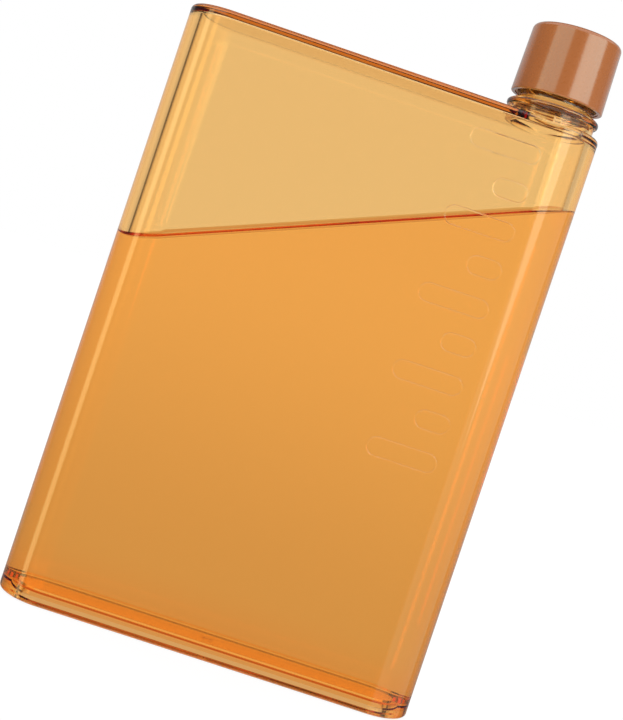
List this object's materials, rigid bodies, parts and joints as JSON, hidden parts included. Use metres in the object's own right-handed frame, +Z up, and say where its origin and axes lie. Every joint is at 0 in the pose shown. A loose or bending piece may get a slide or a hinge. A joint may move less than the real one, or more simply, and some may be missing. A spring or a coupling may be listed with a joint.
{
  "type": "flat water bottle",
  "caption": "Flat see-through water bottle in the format of a paper sheet, with an offset threaded neck and a screw cap.",
  "frame": {"origin": "centre of the base, on the ground plane", "axes": "+Z up, +X towards the side with the neck, -Y towards the front face with the level marks"},
  "size_m": [0.148, 0.0328, 0.2425],
  "materials": {
    "clear_amber": "clear amber copolyester, polished",
    "cap_brown": "glossy moulded",
    "liner_pale": "satin moulded",
    "seal_silicone": "matte silicone",
    "water": "clear water inside the bottle, in the visual model only"
  },
  "bodies": {
    "bottle": {"bottle_body": "clear_amber", "base_plate": "clear_amber"},
    "seal": {"cap_gasket": "seal_silicone"},
    "cap": {"cap_shell": "cap_brown", "cap_liner": "liner_pale"}
  },
  "joints": [
    {"name": "cap_rise", "type": "slide", "parent": "bottle", "child": "seal", "axis": [0, 0, 1], "range_m": [0, 0.022]},
    {"name": "cap_turn", "type": "hinge", "parent": "seal", "child": "cap", "pos_m": [0.0558, 0, 0.2182], "axis": [0, 0, 1], "range_deg": [0, 1980]}
  ],
  "couplings": [
    {"joint": "cap_rise", "follows": "cap_turn", "m_per_rad": 0.00063662}
  ]
}
